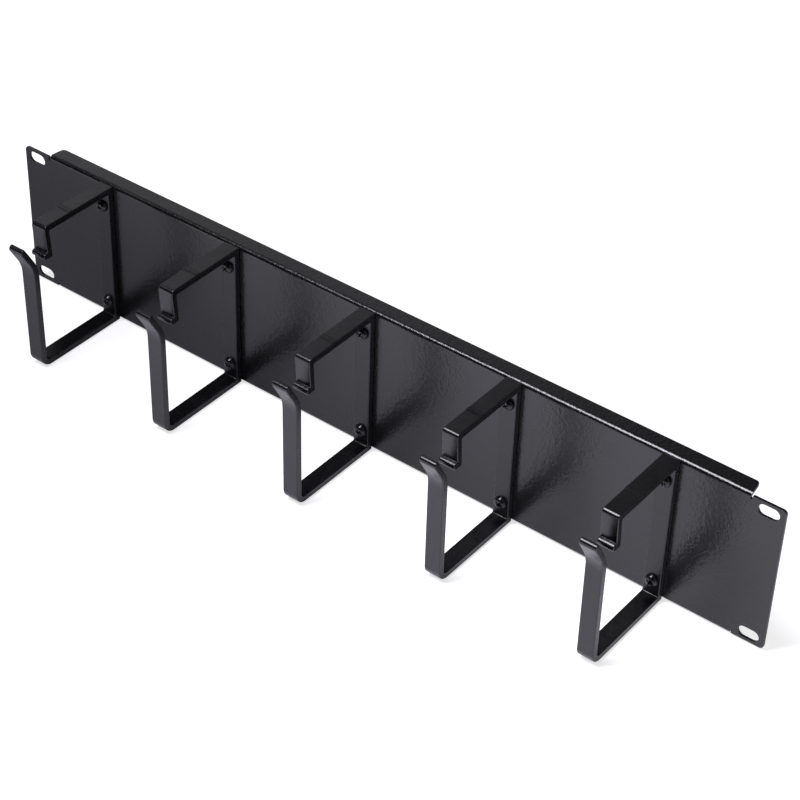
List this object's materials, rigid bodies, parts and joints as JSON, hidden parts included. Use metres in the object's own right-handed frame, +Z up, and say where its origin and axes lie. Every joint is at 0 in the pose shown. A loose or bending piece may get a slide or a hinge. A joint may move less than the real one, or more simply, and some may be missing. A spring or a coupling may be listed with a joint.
{
  "type": "horizontal cable manager",
  "caption": "Flat rack panel with folded edges and slotted ears, and a row of open cable rings with flared lips on its front.",
  "frame": {"origin": "centre of the four rack slots, on the rear face of the ears, which meets the rack posts", "axes": "+X along the panel, -Y out of its front where the rings stand, +Y into the rack, +Z up"},
  "size_m": [0.4826, 0.0797, 0.0882],
  "materials": {
    "panel_coat": "black textured powder coat, fairly glossy",
    "ring_plastic": "black moulded plastic, satin to gloss",
    "screw_black": "black plated steel",
    "nut_zinc": "bright zinc plate"
  },
  "bodies": {
    "root": {"panel": "panel_coat", "ring_1": "ring_plastic", "ring_2": "ring_plastic", "ring_3": "ring_plastic", "ring_4": "ring_plastic", "ring_5": "ring_plastic", "screw_1_top": "screw_black", "nut_1_top": "nut_zinc", "screw_1_bottom": "screw_black", "nut_1_bottom": "nut_zinc", "screw_2_top": "screw_black", "nut_2_top": "nut_zinc", "screw_2_bottom": "screw_black", "nut_2_bottom": "nut_zinc", "screw_3_top": "screw_black", "nut_3_top": "nut_zinc", "screw_3_bottom": "screw_black", "nut_3_bottom": "nut_zinc", "screw_4_top": "screw_black", "nut_4_top": "nut_zinc", "screw_4_bottom": "screw_black", "nut_4_bottom": "nut_zinc", "screw_5_top": "screw_black", "nut_5_top": "nut_zinc", "screw_5_bottom": "screw_black", "nut_5_bottom": "nut_zinc"}
  },
  "joints": []
}
